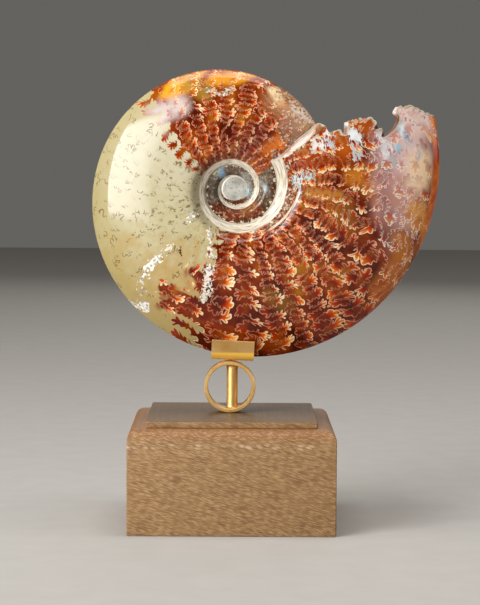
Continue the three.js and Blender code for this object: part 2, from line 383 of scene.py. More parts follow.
outside, inside = rounded(saddle_outside, 2), rounded(saddle_inside, 2)
lip = (outside[-1] + inside[0]) / 2
outside = np.vstack([outside[:-1], outside[-1] * 0.95 + outside[-2] * 0.05, outside[-1] * 0.8 + lip * 0.2])
inside = np.vstack([inside[0] * 0.8 + lip * 0.2, inside[0] * 0.95 + inside[1] * 0.05, inside[1:]])
half = np.vstack([outside, inside])
mirrored = (half * (-1, 1))[::-1][1:-1]
profile = np.vstack([half, mirrored])
tilted = np.array(Matrix.Rotation(saddle_tilt, 3, "Y")).T
rings = [np.column_stack([np.full(len(profile), x), profile]) @ tilted * mm
         for x in (-saddle_length / 2, saddle_length / 2)]
x, _, z = np.vstack(rings).T
shift = ((saddle_low.x + saddle_high.x - x.min() - x.max()) / 2, 0, saddle_low.z - z.min())
saddle_mesh = smoothed(loft("saddle_strip", [ring + shift for ring in rings]), 35)
finish_piece(new_object(saddle_mesh, brass), "saddle")

# The stone itself: one polished shell, coiled in a plane and sliced through its outer skin by
# the polish, so that the edges of its chamber walls show as leafy lines all over the flanks.

# Sizes are in millimetres, and those of the whorl's section in shares of the radius it is at
axis_height = 126
radius_above_axis = 43.5
growth = 0.1207
half_thickness = 0.2
flank_start = 0.38
ventre_sharpness = 1.9
ventre_rounding = 0.72
umbilicus_shift = np.array([0.5, -0.7])
widest_angle = math.atan(growth)
stretches = [  # first and last angle from where the shell is widest, and the step, in degrees
    (-562.5, -337.5, 3.75),
    (-337.5, -67.5, 3.75),
    (-67.5, 202.5, 2.5),
    (202.5, 397.5, 1.25),
]
umbilical_wall = [
    (0.206, 0.03), (0.207, 0.085), (0.209, 0.106), (0.22, 0.113), (0.238, 0.119), (0.254, 0.124),
    (0.264, 0.134), (0.28, 0.155), (0.292, 0.174), (0.31, 0.19), (0.34, 0.1985),
]
flank_points = 44
plug_radius = 5.1
plug_half_thickness = 2.9
plug_drop = 0.4
plug_rim = 0.25
plug_middle = np.array([umbilicus_shift[0], 0, umbilicus_shift[1] + axis_height]) * mm


def baked(body):
    """Turns what the modifiers make into the object's own plain mesh."""
    depsgraph = bpy.context.evaluated_depsgraph_get()
    made = bpy.data.meshes.new_from_object(body.evaluated_get(depsgraph), depsgraph=depsgraph)
    body.modifiers.clear()
    body.data = made
    return body


def flank_half_thickness(share):
    along = np.clip((share - flank_start) / (1 - flank_start), 0, 1)
    return half_thickness * (1 - along ** ventre_sharpness) ** ventre_rounding


def whorl_section():
    """The section's front side from the foot of the umbilical wall to the ventre, then its back.

    Each point has its share of the whorl's radius, its thickness, and its way to the ventre
    along the section in shares of the radius it is at, which the leafy lines follow.
    """
    wall = rounded(umbilical_wall + [(flank_start, half_thickness)], 2)[:-1]
    along = np.sin(math.pi / 2 * np.linspace(0, 1, flank_points + 1))
    share = flank_start + (1 - flank_start) * along
    side = np.vstack([wall, np.stack([share, flank_half_thickness(share)], 1)])
    steps = np.hypot(*np.diff(side, axis=0).T) / ((side[1:, 0] + side[:-1, 0]) / 2)
    to_ventre = np.append(-np.cumsum(steps[::-1])[::-1], 0)
    front = np.column_stack([side * (1, -1), to_ventre])
    back = np.column_stack([side, to_ventre])[-2::-1]
    return np.vstack([front, back])


# The coil grows by the same factor with each turn, so a tree sweeps the section along a
# logarithmic spiral, and keeps on each point where it grew: angle, share and way to the ventre
coil = bpy.data.node_groups.new("coiled_whorl", "GeometryNodeTree")
coil.interface.new_socket("Whorl", in_out="OUTPUT", socket_type="NodeSocketGeometry")
coil_sizes = {
    "Radius Above Axis": radius_above_axis * mm, "Growth": growth, "Flank Start": flank_start,
    "Umbilicus Shift": (umbilicus_shift[0] * mm, 0, umbilicus_shift[1] * mm),
    "Axis Height": axis_height * mm,
}
kinds = {"Section": "Geometry", "First Angle": "Float", "Last Angle": "Float", "Steps": "Int",
         "Stone": "Material", **dict.fromkeys(coil_sizes, "Float"), "Umbilicus Shift": "Vector"}
coil_inputs = {name: coil.interface.new_socket(name, in_out="INPUT", socket_type="NodeSocket" + kind)
               for name, kind in kinds.items()}
given = coil.nodes.new("NodeGroupInput").outputs
points = add(coil, "GeometryNodeAttributeDomainSize", given["Section"])
body = add(coil, "GeometryNodeMeshCylinder", points, given["Steps"], fill_type="NGON")
index = add(coil, "GeometryNodeInputIndex")
ring_number = add(coil, "FunctionNodeIntegerMath DIVIDE", index, points)
point_number = add(coil, "FunctionNodeIntegerMath MODULO", index, points)
turned = add(coil, "Math DIVIDE", ring_number, given["Steps"])
angle = add(coil, "Mix", turned, given["Last Angle"], given["First Angle"])
place = add(coil, "GeometryNodeSampleIndex", given["Section"], add(coil, "GeometryNodeInputPosition"),
            point_number, data_type="FLOAT_VECTOR")
share, thickness, to_ventre = add(coil, "SeparateXYZ", place).outputs
radius = add(coil, "Math SUBTRACT", angle, math.pi / 2)
radius = add(coil, "Math EXPONENT", add(coil, "Math MULTIPLY", radius, given["Growth"]))
radius = add(coil, "Math MULTIPLY", radius, given["Radius Above Axis"])
here = add(coil, "Math MULTIPLY", share, radius)
x = add(coil, "Math MULTIPLY", add(coil, "Math COSINE", angle), here)
y = add(coil, "Math MULTIPLY", thickness, radius)
z = add(coil, "Math MULTIPLY_ADD", add(coil, "Math SINE", angle), here, given["Axis Height"])
place = add(coil, "CombineXYZ", x, y, z)
inward = add(coil, "MapRange", share, 1, given["Flank Start"])
shift = add(coil, "VectorMath SCALE", given["Umbilicus Shift"], inward)
body = add(coil, "GeometryNodeSetPosition", {"Geometry": body, "Position": place, "Offset": shift})
grown = add(coil, "CombineXYZ", angle, share, to_ventre)
body = add(coil, "GeometryNodeStoreNamedAttribute", {"Geometry": body, "Name": "growth", "Value": grown},
           data_type="FLOAT_VECTOR")
body = add(coil, "GeometryNodeRealizeInstances", body)
body = add(coil, "GeometryNodeSetMaterial", {"Geometry": body, "Material": given["Stone"]})
coil.links.new(body.outputs["Geometry"], coil.nodes.new("NodeGroupOutput").inputs["Whorl"])


def grow_whorl(name, first, last, step, material):
    """Grows one stretch of the shell, between two angles in degrees from where it is widest."""
    section = bpy.data.meshes.new(name)
    section.from_pydata(whorl_section().tolist(), [], [])
    body = new_object(section, material)
    growing = body.modifiers.new("growing", "NODES")
    growing.node_group = coil
    stretch = {"First Angle": widest_angle + math.radians(first), "Stone": material,
               "Last Angle": widest_angle + math.radians(last), "Steps": round((last - first) / step)}
    for socket, value in {**stretch, **coil_sizes}.items():
        growing[coil_inputs[socket].identifier] = value
    return baked(body)


# Where the mouth broke off: across the older whorl, then along the leafy edges of the last
# chamber wall that held. In millimetres from the coiling axis, as seen from the front.
broken_across_whorl = [
    (11, 8.2), (19.8, 10.7), (22.3, 13.9), (25, 15.4), (27.9, 18), (29.7, 20.9),
]
broken_across_whorl_foot = [
    (10, 9), (16.7, 10.8), (20.2, 14.4), (23.2, 17.1), (26.4, 19.5), (29, 21.8),
]
broken_rim = [
    (30.8, 24), (33.3, 23.2), (34.1, 22.1), (34.8, 20.8), (35.5, 20.1), (36.2, 19.2), (36.5, 19.3),
    (36.6, 20.6), (37, 21), (37.8, 21), (38.1, 21.4), (38.9, 21.6), (39.4, 21.4), (39.8, 20.8),
    (40, 20.1), (40.7, 19.8), (41.4, 19.3), (41.8, 20.1), (42, 21), (42.2, 22.5), (42.1, 24.3),
    (42.5, 24.7), (43.2, 24.7), (43.8, 25.3), (44.3, 25.1), (44.7, 24.2), (45, 23.7), (45.2, 24.7),
    (45.8, 25.3), (46.5, 26.1), (47.1, 25.8), (47.7, 25.2), (48.2, 24.6), (48.6, 24.2), (49, 25.1),
    (49.3, 26), (50, 26.3), (50.8, 26.2), (51.3, 25.9), (51.7, 25.2), (52.5, 24.9), (52.9, 24),
    (52.5, 23.3), (51.9, 22.7), (51.7, 21.9), (52.5, 21.6), (53.6, 21.9), (54.3, 22.2), (54.9, 22.1),
    (55.1, 21.3), (54.9, 20.2), (54.6, 18.8), (56, 18.9), (57.6, 19.9), (58.8, 21), (60.1, 22.4),
    (61.1, 24), (61.5, 25.6), (61.2, 27), (60.5, 27.6), (60.2, 27.9), (60.3, 28.7), (60.9, 30),
    (61.6, 30.6), (62.3, 30.5), (62.9, 29.7), (63.3, 29.5), (63.8, 30.2), (64.4, 30.6), (65.3, 31),
    (66, 30.9), (66.8, 30.5), (67.5, 30), (68.6, 29.9), (69.2, 29.5), (69.4, 29.1), (70.1, 29.1),
    (71, 28.7), (71.3, 27.9), (72, 28.2), (72.9, 28.2), (73.4, 27.6), (74.9, 27.2),
]
beyond_the_shell = [(90, 25), (90, 70), (8, 70)]
mouth_direction = math.radians(25)
mouth_hollow = 2.5
mouth_smoothing = 30
least_step_across = 0.07
plain_within = 0.3
mouth_layers = 25
outermost_layer = 0.95
clear_of_flanks = 22


def soft_step(low, high, value):
    t = np.clip((value - low) / (high - low), 0, 1)
    return t * t * (3 - 2 * t)


def broken_away():
    """What is missing beyond the mouth: leafy at the flanks, smoother and hollow inside."""
    forward = np.array([-math.sin(mouth_direction), math.cos(mouth_direction)])
    outward = np.array([math.cos(mouth_direction), math.sin(mouth_direction)])
    rim = np.array(broken_rim, float)
    heights = rim @ forward
    for _ in range(mouth_smoothing):
        heights[1:-1] = (heights[:-2] + 2 * heights[1:-1] + heights[2:]) / 4
    steps = np.arange(len(rim)) * least_step_across
    reach = np.maximum.accumulate(rim @ outward - steps) + steps
    hollow = mouth_hollow * np.sin(math.pi * np.linspace(0, 1, len(rim)))
    inside = np.outer(reach, outward) + np.outer(heights - hollow, forward)
    at_flank = np.vstack([rounded(broken_across_whorl + broken_rim, 1), beyond_the_shell])
    at_middle = np.vstack([rounded(broken_across_whorl_foot + inside.tolist(), 1), beyond_the_shell])
    turned = np.arctan2(at_flank[:, 1], at_flank[:, 0]) + 1.5 * math.pi
    radius = radius_above_axis * np.exp(growth * turned)
    share = np.minimum(np.hypot(*at_flank.T) / radius, 0.99)
    half = flank_half_thickness(share) * radius
    rings = []
    for layer in np.linspace(outermost_layer, -outermost_layer, mouth_layers):
        towards_flank = soft_step(plain_within, outermost_layer, abs(layer))
        x, z = (at_middle + (at_flank - at_middle) * towards_flank).T
        rings.append(np.stack([x, half * layer, z], 1))
    prism = np.insert(at_flank, 1, clear_of_flanks, axis=1)
    rings = [prism, *rings, prism * (1, -1, 1)]
    return loft("broken_away", [(ring + (0, 0, axis_height)) * mm for ring in rings])


def solid_step(body, other, operation):
    """Joins or cuts a body with another one, which is used up."""
    step = body.modifiers.new("step", "BOOLEAN")
    step.operation = operation
    step.solver = "MANIFOLD"
    step.material_mode = "TRANSFER"
    step.object = other
    baked(body)
    bpy.data.objects.remove(other)


def umbilicus_plug():
    """The low dome in the middle of the umbilicus, on both sides."""
    dome = [(plug_radius * share, plug_drop * share ** 2 - plug_half_thickness)
            for share in (0.02, 0.3, 0.55, 0.8, 0.93, 1)]
    dome[-1] = (plug_radius, dome[-1][1] + plug_rim)
    around = -np.linspace(0, 2 * math.pi, 48, endpoint=False)
    circle = np.stack([np.cos(around), 0 * around, np.sin(around)], 1)
    rings = dome + [(radius, -y) for radius, y in reversed(dome)]
    return loft("umbilicus_plug", [(circle * radius + (0, y, 0)) * mm + plug_middle for radius, y in rings])


polished, shell_tree, on_shell = new_material("polished_calcite_shell")

# Broken calcite: dull and grainy, in the colours of the front along its edge and brown within
fracture, tree, place = new_material("broken_calcite")
spots = add(tree, "TexNoise", place, 420, 4)
tones = add(tree, "ValToRGB", spots, stops=[
    (0.3, "#5a2c18"), (0.42, "#a87858"), (0.52, "#d8c0ac"), (0.7, "#efe4da")])
broken = add(tree, "Attribute broken")
amount = add(tree, "Math MULTIPLY_ADD", spots, 0.8, broken.outputs["Alpha"])
amount = add(tree, "MapRange", amount, 0.9, 1.3, 0, 0.9)
deep = add(tree, "Math ABSOLUTE", add(tree, "SeparateXYZ", place).outputs["Y"])
deep = add(tree, "Math MULTIPLY_ADD", add(tree, "TexNoise", place, 170, 3), 24 * mm, deep)
deep = add(tree, "MapRange", deep, 22 * mm, 18 * mm, 0, 0.8)
broken = add(tree, "Mix RGBA", deep, broken, "#6e3c20")
tones = add(tree, "Mix RGBA", amount, tones, broken)
add(tree, "OutputMaterial", add(tree, "BsdfPrincipled", {
    "Base Color": tones, "Roughness": 0.55, "Specular IOR Level": 0.2}))

# Grey sediment: polished with the shell, clouded and finely speckled, in a thin pale lip
speckled, tree, place = new_material("grey_sediment_plug")
clouds = add(tree, "TexNoise", place, 300, 3)
tones = add(tree, "ValToRGB", clouds, stops=[(0.35, "#9a978a"), (0.55, "#b4b2a2"), (0.7, "#c2c6bc")])
dark = add(tree, "MapRange", add(tree, "TexNoise", place, 1500, 2), 0.42, 0.34, 0, 0.7)
tones = add(tree, "Mix RGBA", dark, tones, "#55524a")
out = add(tree, "VectorMath SUBTRACT", place, plug_middle)
out = add(tree, "VectorMath LENGTH", add(tree, "VectorMath MULTIPLY", out, (1, 0, 1)))
lip = add(tree, "MapRange", out, (plug_radius - 0.75) * mm, (plug_radius - 0.55) * mm, 0, 0.9)
tones = add(tree, "Mix RGBA", lip, tones, "#d8ccb8")
add(tree, "OutputMaterial", add(tree, "BsdfPrincipled", {
    "Base Color": tones, "Roughness": 0.4, "Coat Weight": 0.6, "Coat Roughness": 0.15}))

bodies = [grow_whorl(f"whorl_{number}", *stretch, polished) for number, stretch in enumerate(stretches)]
solid_step(bodies[-1], new_object(broken_away(), fracture), "DIFFERENCE")
shell = bodies[0]
for body in bodies[1:]:
    solid_step(shell, body, "UNION")
solid_step(shell, new_object(umbilicus_plug(), speckled), "UNION")
shell.name = "ammonite_shell"
smoothed(shell.data, 35)

# Where the stone differs in colour, and where reflections on its polish are painted in, as lines
# between two places in millimetres from the coiling axis, with a radius, a colour and a strength
tints = [
    (-25, 35, -16, 39, 3, "#e8a020", 0.95),  # amber along the upper left rim
    (-17, 38.5, -11, 35, 3, "#987426", 0.8),
    (-8, 40, 2, 41, 2.5, "#dc9420", 0.9),
    (13, 15, 18, 17, 3, "#cf6a1c", 0.8),  # orange above the umbilicus
    (2, 14, 9, 19, 5, "#4e1420", 0.6),  # wine red above the umbilicus
    (18, 33, 28, 27, 6, "#a87c54", 0.95),  # tan and rose behind the mouth
    (12.8, 37.5, 17.5, 31.5, 1.2, "#f2d8a4", 0.95), (17.5, 31.5, 20, 27, 1.4, "#c88a58", 0.7),
    (22.5, 30.5, 26.5, 26, 1.5, "#e4d8cc", 0.85), (19, 26, 18.8, 24, 1.6, "#b46050", 0.7),
    (28.6, 22.6, 29, 23.2, 1.5, "#a8985c", 0.8),
    (24, 23, 29, 24, 2.5, "#a4845c", 0.9), (20, 23, 24, 18, 3, "#94705a", 0.8),
    # Painted reflection: these two pale lilac-grey patches at the upper left are the soft upper end of the
    # lamp's highlight on the polish
    (-31, 26, -20, 30, 3.6, "#cfc4bc", 0.85), (-28, 23, -27, 21, 2.5, "#d0c0b0", 0.6),
    (22.5, 2, 19.5, -7, 2.4, "#4c2410", 0.85), (19.5, -7, 13, -14.5, 2.2, "#4c2410", 0.85),
    (26, 10, 41, 13, 3, "#c05010", 0.5),  # plain orange before the mouth
    (36, 19, 41, 15, 3, "#c8600e", 0.6),
    (45, 24, 51, 22, 3, "#c05a12", 0.6),
    (28, -2, 39, -3, 2, "#c8842a", 0.7),
    (44, 4, 46, 4, 3, "#cc7a1c", 0.8),
    (51, 0, 53, -3, 3, "#c8741c", 0.7),
    (41, -6, 43, -13, 3, "#8c5a1a", 0.5),
    # Painted reflection: the pale lilac and rose patches on the last chamber are the soft glare of a lamp
    # on its polish
    (60, 16, 61.5, -7, 8, "#d4b0aa", 0.9),  # lilac haze on the last chamber
    (61.5, -7, 62, -20, 5.5, "#b07a66", 0.6),
    (66, 22, 68, 8, 5.5, "#eac6ba", 0.9),
    (56, 8, 57, -17, 2.5, "#84402a", 0.5),
    (61, 2, 61, -4, 3, "#c88a70", 0.6),
    (63, 29, 72, 25, 5, "#f6d8ca", 0.95),  # pink cream at the tip
    # Painted reflection: these peach and pale brown patches belong to the same glare as the lilac haze
    (69.5, 10, 69, 3, 4.5, "#ffdcb0", 0.95), (67, -5, 67, -12, 4, "#d8a488", 0.7),
    (69, -8.5, 71, -13, 4, "#e49a34", 0.85),  # amber low on the last chamber
    (62.5, -19, 64, -25, 3, "#cf7e1c", 0.85),
    (65, -22, 63, -31, 4.5, "#b86a22", 0.75), (70, -18, 71.5, -26, 2.6, "#7a3010", 0.8),
    (60, -31, 55, -38, 4, "#c8702a", 0.7),
    (14, -40, 20, -44, 3, "#94661c", 0.5),
]
infill = [
    (0, 0, 0, 0, 40, "#50301c", 1),
    (-8, -5, -1, -10, 3, "#5c2a18", 1), (-1, -10, 8, -8, 3, "#74341a", 1),
    (5, -8, 9, -4, 2.5, "#8a5526", 0.9), (-7.2, 4, -7.5, -4, 2.2, "#5e574a", 1),
    (-7, 6, -5, 7.5, 1.6, "#c8bc94", 1),
    (-4.4, 7.4, -4, 4.6, 1.6, "#7fa3b8", 1), (-2, 6.3, 2.5, 6.4, 1.8, "#6c5c4c", 1),
    (4.6, 4, 6, -2.5, 1.8, "#8e8c80", 1), (5.4, -1, 5.2, -2.6, 1, "#86a0a8", 0.9),
    (10.5, 2, 11.2, -2, 2.6, "#7c7668", 1), (11.6, 0.5, 12, -1, 0.9, "#9aa8aa", 0.9),
    (8, 12, 10.8, 7, 2.6, "#5c5a34", 1), (11, 8, 13.5, 3.5, 1.8, "#6a5a48", 1),
    (9.5, -3, 12.8, -6, 2.2, "#5a4630", 1),
]
crystals = [
    (-10, 36, -7, 35, 1.5, "#b8ac90", 0.8), (-4, 35, -1, 36, 1.4, "#bcb094", 0.8),
    (-8.9, -15.4, -8.1, -23.1, 1, "#e6dfcc", 0.8), (-8.1, -23.1, -8.8, -30.6, 1.7, "#e6dfcc", 0.8),
    (-8.8, -30.6, -9.5, -38, 1.9, "#e2dccc", 0.8), (-9.5, -38, -11, -42.4, 1.6, "#d8d0b8", 0.75),
    (-23.4, -21.4, -26.9, -25.9, 1.7, "#dcd4b8", 0.7), (-26.9, -25.9, -31.6, -30.4, 1.7, "#f6f2e4", 0.85),
    (-31.6, -30.4, -33.2, -34.2, 1.5, "#f2eee0", 0.85), (-34.3, -37.1, -33.9, -42.8, 2, "#c8bf9c", 0.65),
    (-33, -44.6, -32, -47.4, 1.8, "#dcdad0", 1),
    (-14.6, -10.2, -15.2, -11, 1.3, "#ffffff", 1), (-16.2, -12, -17, -12.6, 1, "#fff8ea", 0.8),
    (-20, -24, -19, -25.5, 0.9, "#6a4418", 0.8),
    (22.5, 1, 20, -6.5, 1.8, "#8c6244", 0.75), (20, -6.5, 14.5, -13.5, 1.6, "#96704e", 0.75),
    (14.5, -13.5, 7, -17, 1.3, "#a8845c", 0.7),
    (63, 29, 73, 25, 3.5, "#e8c8bc", 0.5), (66, 24, 68, 18, 2.5, "#ecd4cc", 0.4),
    (20, 22, 22, 14, 3, "#8c6c54", 0.7), (16, 12, 19, 8, 2.2, "#6e6456", 0.8),
    (14, 37, 28, 27, 2, "#b08a60", 0.75), (20, 27, 26, 24, 2.4, "#bc9c80", 0.6),
]
nacre = [
    (31.5, 18.5, 32.5, 14.5, 1.8, "#efe6da", 0.9), (28.5, 17, 29.5, 13.5, 1.5, "#ece2d2", 0.9),
    (25.7, 4.4, 28.3, 4.4, 2.6, "#b8c8c0", 0.8), (22.5, 3.5, 24, 1, 1.5, "#b8c8c4", 0.8),
    (35.2, 20, 36.4, 15.5, 1.8, "#e4e6e4", 1), (43, 20, 45.4, 19, 2.4, "#e8ece8", 1),
    (44.5, 18, 45.6, 12, 2.2, "#eceee8", 0.95), (53.5, 21, 54.4, 19, 1.5, "#c8bab0", 1),
    (54.5, 18, 57.5, 13, 2.6, "#e8e2de", 0.95), (57, 13, 59.5, 9, 2.2, "#e0d8d4", 0.8),
    (50, 12, 53, 8, 2.5, "#e0d0b8", 0.5), (61.5, 23, 63, 20, 1.9, "#dfe8e4", 1),
    (64.3, 20.4, 64.5, 19, 1.4, "#7fb2ca", 1),
    (61.4, 15.4, 61.6, 13.8, 1.3, "#98c2d2", 0.95), (66, 16, 69, 12, 3, "#e4d8d4", 0.6),
]
broken_colours = [
    (10, 9, 29.5, 21.5, 4, "#c8beb2", 0.9), (31, 23, 34, 21, 2.5, "#b08a60", 0.9),
    (36.5, 20, 40, 20.5, 2.5, "#c8782c", 0.95), (42.5, 24, 45, 22, 1.8, "#d8d4cc", 0.9),
    (46, 25, 47, 21, 2, "#c4642a", 1), (49.5, 25.5, 51, 21, 2.2, "#b4501c", 1),
    (53.5, 22, 54.5, 20.5, 1.5, "#d0c4b8", 0.9), (55, 19, 60, 24, 3.4, "#5e2c12", 1),
    (61, 25, 61, 28, 2.2, "#7a4a30", 0.9), (61, 29.5, 62.4, 30.6, 1.8, "#f4f2ec", 1),
    (64, 30, 72, 28.5, 2.5, "#dcbcb0", 0.9),
]
red_leaves = [  # in the khaki
    (-26.2, -37.5, -15.8, -42.4, 2.6), (-25.9, -43.9, -13.9, -46.1, 2.6), (-14.5, -31.5, -11.5, -34.5, 3),
]
back_turn = math.radians(14)
turn_depth = 4

positions = np.zeros(len(shell.data.vertices) * 3, np.float32)
shell.data.vertices.foreach_get("co", positions)
x, y, z = (positions.reshape(-1, 3) / mm).T
z = z - axis_height


def near_line(x0, z0, x1, z1, radius, softness=0.5):
    """How near each point of the shell is to a line: one on it, nothing past the radius."""
    dx, dz = x1 - x0, z1 - z0
    along = np.clip(((x - x0) * dx + (z - z0) * dz) / max(dx * dx + dz * dz, 1e-6), 0, 1)
    distance = np.hypot(x - x0 - along * dx, z - z0 - along * dz)
    return 1 - soft_step(1 - softness, 1 + softness, distance / radius)


def mark_patches(name, patches, softness=0.5):
    """Lays patches of colour over each other and keeps them on the shell, with their strength."""
    colour = np.zeros((len(x), 3))
    cover = np.zeros(len(x))
    for *line, radius, hex_colour, strength in patches:
        here = strength * near_line(*line, radius, softness)
        total = here + cover * (1 - here)
        part = np.divide(here, total, out=np.zeros(len(x)), where=total > 0)[:, None]
        colour = colour * (1 - part) + np.array(linear(hex_colour)[:3]) * part
        cover = total
    attribute = shell.data.attributes.new(name, "FLOAT_COLOR", "POINT")
    attribute.data.foreach_set("color", np.hstack([colour, cover[:, None]]).astype(np.float32).ravel())


def mark(name, values):
    attribute = shell.data.attributes.new(name, "FLOAT", "POINT")
    attribute.data.foreach_set("value", values.astype(np.float32))


mark_patches("broken", broken_colours)
turn = back_turn * soft_step(-turn_depth, turn_depth, y)
x, z = x * np.cos(turn) - z * np.sin(turn), x * np.sin(turn) + z * np.cos(turn)
mark_patches("tint", tints, 0.6)
mark_patches("infill", infill)
mark_patches("crystal", crystals)
mark_patches("nacre", nacre)
# The area of the painted reflection on the last chamber, a lamp's glare on the polish, under which the wall
# lines are painted paler
mark("haze", near_line(60, 20, 63, -22, 8, 0.6))
mark("red_leaf", sum(near_line(*branch) for branch in red_leaves))

# Polished shell: calcite and aragonite, see-through reds and ambers under a glassy polish,
# with the edges of the chamber walls as pale lines round leaves with fingers. Lengths are in
# cells, which are so many radians along the coil and shares of the radius across it. A finger
# has its root and its end (onward, aside) and its half width at both
cell = 0.1055
cell_aside = 0.117
widening_inwards = 0.25
between_walls = 1.93
apart = 50  # moves each wall's row of leaves along, so that no two are alike
sweep = 0.2
khaki_start = 2.38
khaki_chambers = 10
lobe_fingers = [(-0.3, 0, 0.5, 0, 0.17, 0.19), (0.5, 0, 0.9, 0.01, 0.12, 0.085),
                (0.42, 0.06, 0.72, 0.28, 0.11, 0.085), (0.1, 0.08, 0.3, 0.33, 0.1, 0.08)]
saddle_fingers = [(-0.3, 0, 0.48, 0, 0.16, 0.18), (0.48, 0, 0.88, 0.04, 0.11, 0.085),
                  (0.4, 0.06, 0.68, 0.28, 0.1, 0.085), (0.08, 0.06, 0.28, 0.32, 0.1, 0.075)]
finger_web = 0.05
leaf_foot = 0.06
shortest_leaf = 0.75
longest_leaf = 1.15
most_lean = 0.35

# Stretches of the coil, as angles in radians: where a change starts and ends, with its amounts,
# or where something starts, is full, fades and is gone
walls_hurry = (5, 8, 0, 0.9)
leaves_crowd = (4.9, 6.3, 1, 1.4)
jags_grow = (4.2, 4.4, 0.2, 1)
lobes_glow = (3.4, 5, 0.8, 1)
saddles_glow = (3.4, 3.9, 5.2, 5.8)
last_chamber = (5.9, 6.2)
older_whorls = (0.62, 0.5)
shoulder_rises = (5.5, 6.28, 0.286, 0.312)
shoulder_shows = (5.35, 5.55, 6.2, 6.35)

# Sizes on the stone in millimetres
line_half_width = 0.13
grain_size = 0.75
wander_depth = 40
shell_height = 110

wall_edge = bpy.data.node_groups.new("chamber_wall_edge", "ShaderNodeTree")
for name, way in (("Along", "INPUT"), ("Across", "INPUT"), ("Distance", "OUTPUT")):
    wall_edge.interface.new_socket(name, in_out=way, socket_type="NodeSocketFloat")
tree = wall_edge
given = tree.nodes.new("NodeGroupInput").outputs
edge = given["Along"]
for fingers, start, way, join in ((lobe_fingers, 0, -1, "MAX"), (saddle_fingers, 0.5, 1, "MIN")):
    across = add(tree, "Math SUBTRACT", given["Across"], start)
    leaf_number = add(tree, "Math ROUND", across)
    across = add(tree, "Math SUBTRACT", across, leaf_number)
    own = add(tree, "TexWhiteNoise", leaf_number, noise_dimensions="1D")
    own = add(tree, "SeparateColor", own.outputs["Color"]).outputs
    length = add(tree, "MapRange", own["Red"], 0, 1, shortest_leaf * way, longest_leaf * way)
    onward = add(tree, "Math DIVIDE", given["Along"], length)
    lean = add(tree, "MapRange", own["Green"], 0, 1, -most_lean, most_lean)
    across = add(tree, "Math MULTIPLY_ADD", onward, lean, across)
    point = add(tree, "CombineXYZ", onward, add(tree, "Math ABSOLUTE", across))
    leaf = None
    for root_on, root_aside, end_on, end_aside, root_width, end_width in fingers:
        finger = Vector((end_on - root_on, end_aside - root_aside, 0))
        from_root = add(tree, "VectorMath SUBTRACT", point, (root_on, root_aside, 0))
        passed = add(tree, "VectorMath DOT_PRODUCT", from_root, finger / finger.length_squared)
        passed = add(tree, "Clamp", passed)
        off = add(tree, "VectorMath DISTANCE", from_root, add(tree, "VectorMath SCALE", finger, passed))
        width = add(tree, "Math MULTIPLY_ADD", passed, end_width - root_width, root_width)
        inside = add(tree, "Math SUBTRACT", width, off)
        leaf = add(tree, "Math SMOOTH_MAX", leaf, inside, finger_web) if leaf else inside
    leaf = add(tree, "Math MULTIPLY", leaf, -way)
    edge = add(tree, "Math SMOOTH_" + join, edge, leaf, leaf_foot)
tree.links.new(edge.outputs[0], tree.nodes.new("NodeGroupOutput").inputs["Distance"])

# Where a point is among the walls: along the coil and across it, in cells that grow with the
# whorl, and then a little bent, so that no two walls are alike
tree, place = shell_tree, on_shell
grown = add(tree, "Attribute growth").outputs["Vector"]
angle, share, to_ventre = add(tree, "SeparateXYZ", grown).outputs
from_axis = add(tree, "Mapping", place, (0, 0, -axis_height), (0, 0, 0), (1 / mm, 0, 1 / mm))
from_axis = add(tree, "VectorMath LENGTH", from_axis)
along = add(tree, "Math SUBTRACT", angle, khaki_start)
along = add(tree, "Math ADD", along, add(tree, "MapRange", angle, *walls_hurry))
swept = add(tree, "Math SUBTRACT", angle, khaki_start + khaki_chambers * between_walls * cell)
swept = add(tree, "MapRange", add(tree, "Math ABSOLUTE", swept), 0, 1, 0, sweep)
along = add(tree, "Math MULTIPLY_ADD", to_ventre, swept, along)
lateral = add(tree, "Math MULTIPLY_ADD", to_ventre, -widening_inwards, 1)
crowding = add(tree, "MapRange", angle, *leaves_crowd)
lateral = add(tree, "Math MULTIPLY", add(tree, "Math DIVIDE", to_ventre, lateral), crowding)
cell_size = add(tree, "Math MULTIPLY", add(tree, "Math DIVIDE", from_axis, crowding), cell)
_, y, height = add(tree, "SeparateXYZ", place).outputs
cells = add(tree, "CombineXYZ", along, lateral, y)
cells = add(tree, "VectorMath MULTIPLY", cells, (1 / cell, 1 / cell_aside, 1 / (wander_depth * mm * cell)))
bent_cells = cells
long_way = add(tree, "VectorMath MULTIPLY", cells, (0.3, 1, 1))
wide_way = add(tree, "VectorMath MULTIPLY", cells, (1, 0.3, 1))
for around, scale, amount in ((cells, 0.2, (1.4, 1.2, 0)), (long_way, 0.8, (0.9, 0.3, 0)),
                              (wide_way, 0.5, (0, 0.7, 0)), (cells, 2, (0.2, 0.2, 0))):
    wander = add(tree, "TexNoise", around, scale, 0)
    wander = add(tree, "VectorMath SUBTRACT", wander.outputs["Color"], (0.5, 0.5, 0.5))
    bent_cells = add(tree, "VectorMath MULTIPLY_ADD", wander, amount, bent_cells)
onward, across, _ = add(tree, "SeparateXYZ", bent_cells).outputs
number = add(tree, "Math FLOOR", add(tree, "Math DIVIDE", onward, between_walls))
behind = add(tree, "Math MULTIPLY_ADD", number, -between_walls, onward)
ahead = add(tree, "Math SUBTRACT", behind, between_walls)

